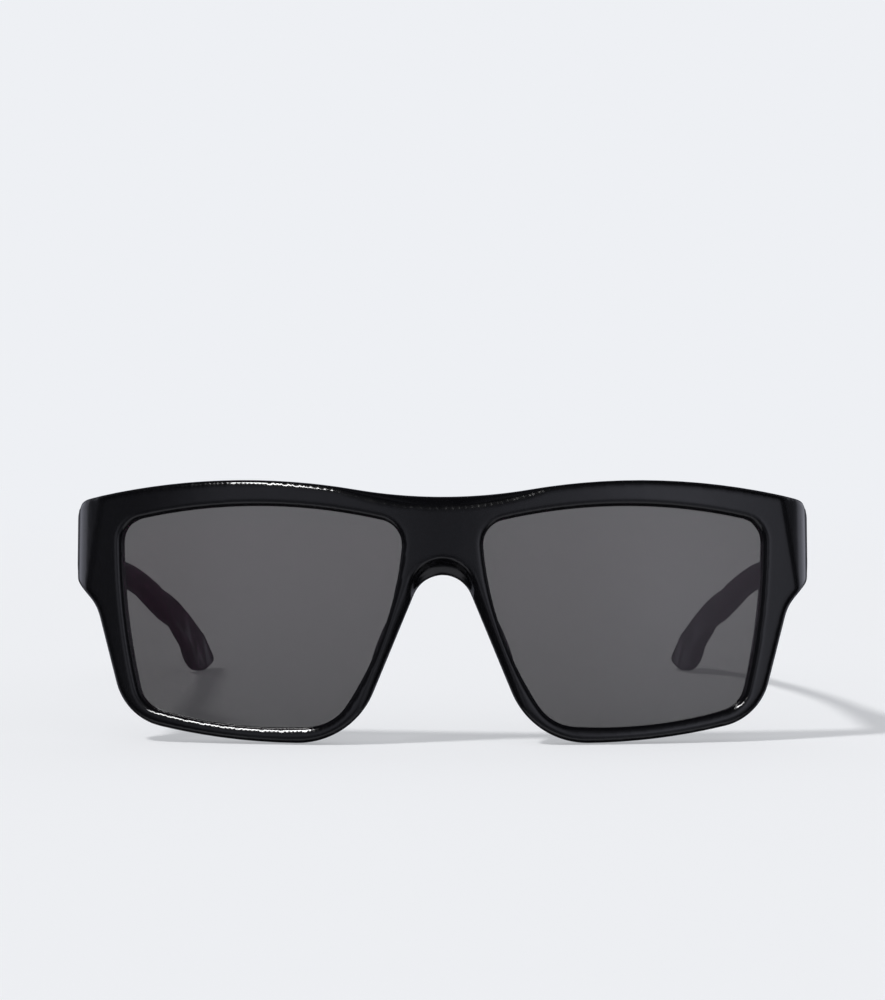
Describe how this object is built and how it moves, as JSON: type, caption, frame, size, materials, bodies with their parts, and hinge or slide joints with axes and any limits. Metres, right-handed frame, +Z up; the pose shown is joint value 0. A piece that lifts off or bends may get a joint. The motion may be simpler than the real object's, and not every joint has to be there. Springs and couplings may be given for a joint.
{
  "type": "flat top sunglasses",
  "caption": "Flat top sunglasses with a wrapped front, tinted lenses and two temples that fold on barrel hinges.",
  "frame": {"origin": "on the table, under the middle of the open pair's bounding box", "axes": "+Z up, the front faces -Y, the temples run back to +Y, +X is the wearer's left"},
  "size_m": [0.1494, 0.1486, 0.0531],
  "materials": {
    "frame_plastic": "polished gloss black",
    "tinted_lens": "polished grey tint",
    "pad_plastic": "gloss black",
    "hinge_steel": "nickel plated",
    "core_wire": "drawn wire"
  },
  "bodies": {
    "front": {"front_frame": "frame_plastic", "lens_left": "tinted_lens", "lens_right": "tinted_lens", "nose_pad_left": "pad_plastic", "nose_pad_right": "pad_plastic", "hinge_front_leaf_left": "hinge_steel", "hinge_front_leaf_right": "hinge_steel", "hinge_screw_left": "hinge_steel", "hinge_screw_right": "hinge_steel"},
    "temple_left": {"temple_left": "frame_plastic", "temple_core_left": "core_wire", "hinge_temple_leaf_left": "hinge_steel"},
    "temple_right": {"temple_right": "frame_plastic", "temple_core_right": "core_wire", "hinge_temple_leaf_right": "hinge_steel"}
  },
  "joints": [
    {"name": "temple_fold_left", "type": "hinge", "parent": "front", "child": "temple_left", "pos_m": [0.06797, -0.05453, 0.03967], "axis": [0, 0.0872, 0.9962], "range_deg": [0, 85]},
    {"name": "temple_fold_right", "type": "hinge", "parent": "front", "child": "temple_right", "pos_m": [-0.06797, -0.05453, 0.03967], "axis": [0, -0.0872, -0.9962], "range_deg": [0, 79]}
  ]
}
